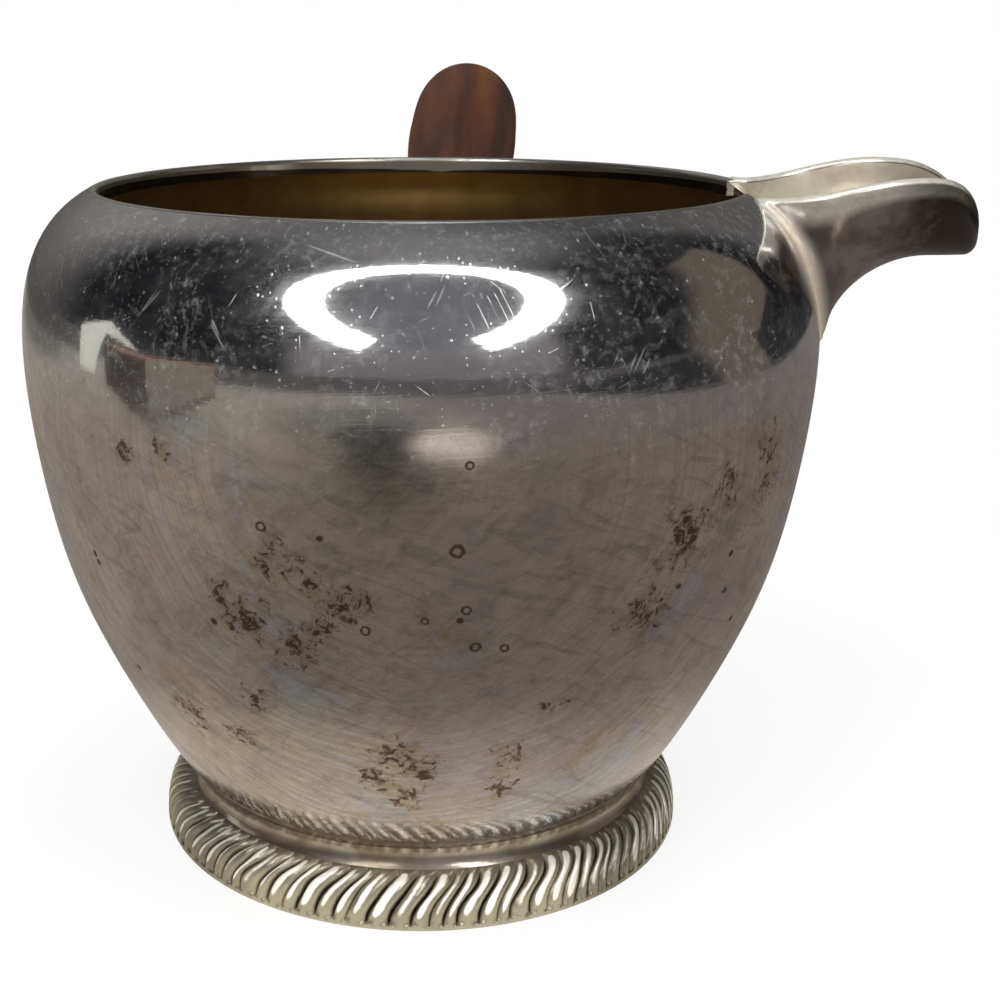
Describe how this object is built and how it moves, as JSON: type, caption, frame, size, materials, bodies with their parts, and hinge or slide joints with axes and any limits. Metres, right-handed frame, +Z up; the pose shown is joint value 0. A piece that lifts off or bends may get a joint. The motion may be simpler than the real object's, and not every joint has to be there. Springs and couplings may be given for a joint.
{
  "type": "brandy warmer",
  "caption": "Round-bodied silver-plated warming pot on a gadrooned foot, with an open pouring spout at the mouth and a turned wooden side handle.",
  "frame": {"origin": "middle of the whole object's footprint, on the surface it stands on", "axes": "+Z up, +X the way the spout pours, +Y the way the handle points"},
  "size_m": [0.0976, 0.1594, 0.0795],
  "materials": {
    "silver": "polished silver plate with fine wear and a little tarnish",
    "aged_silver": "silver plate, tarnished yellowish in the grooves",
    "wood": "dark brown turned wood, waxed",
    "brass": "dull"
  },
  "bodies": {
    "root": {"bowl": "silver", "rim_band": "silver", "spout": "silver", "foot_ring": "silver", "gadroon_border": "aged_silver", "socket_plate": "silver", "handle_socket": "silver", "handle_grip": "wood", "handle_pin": "brass"}
  },
  "joints": []
}
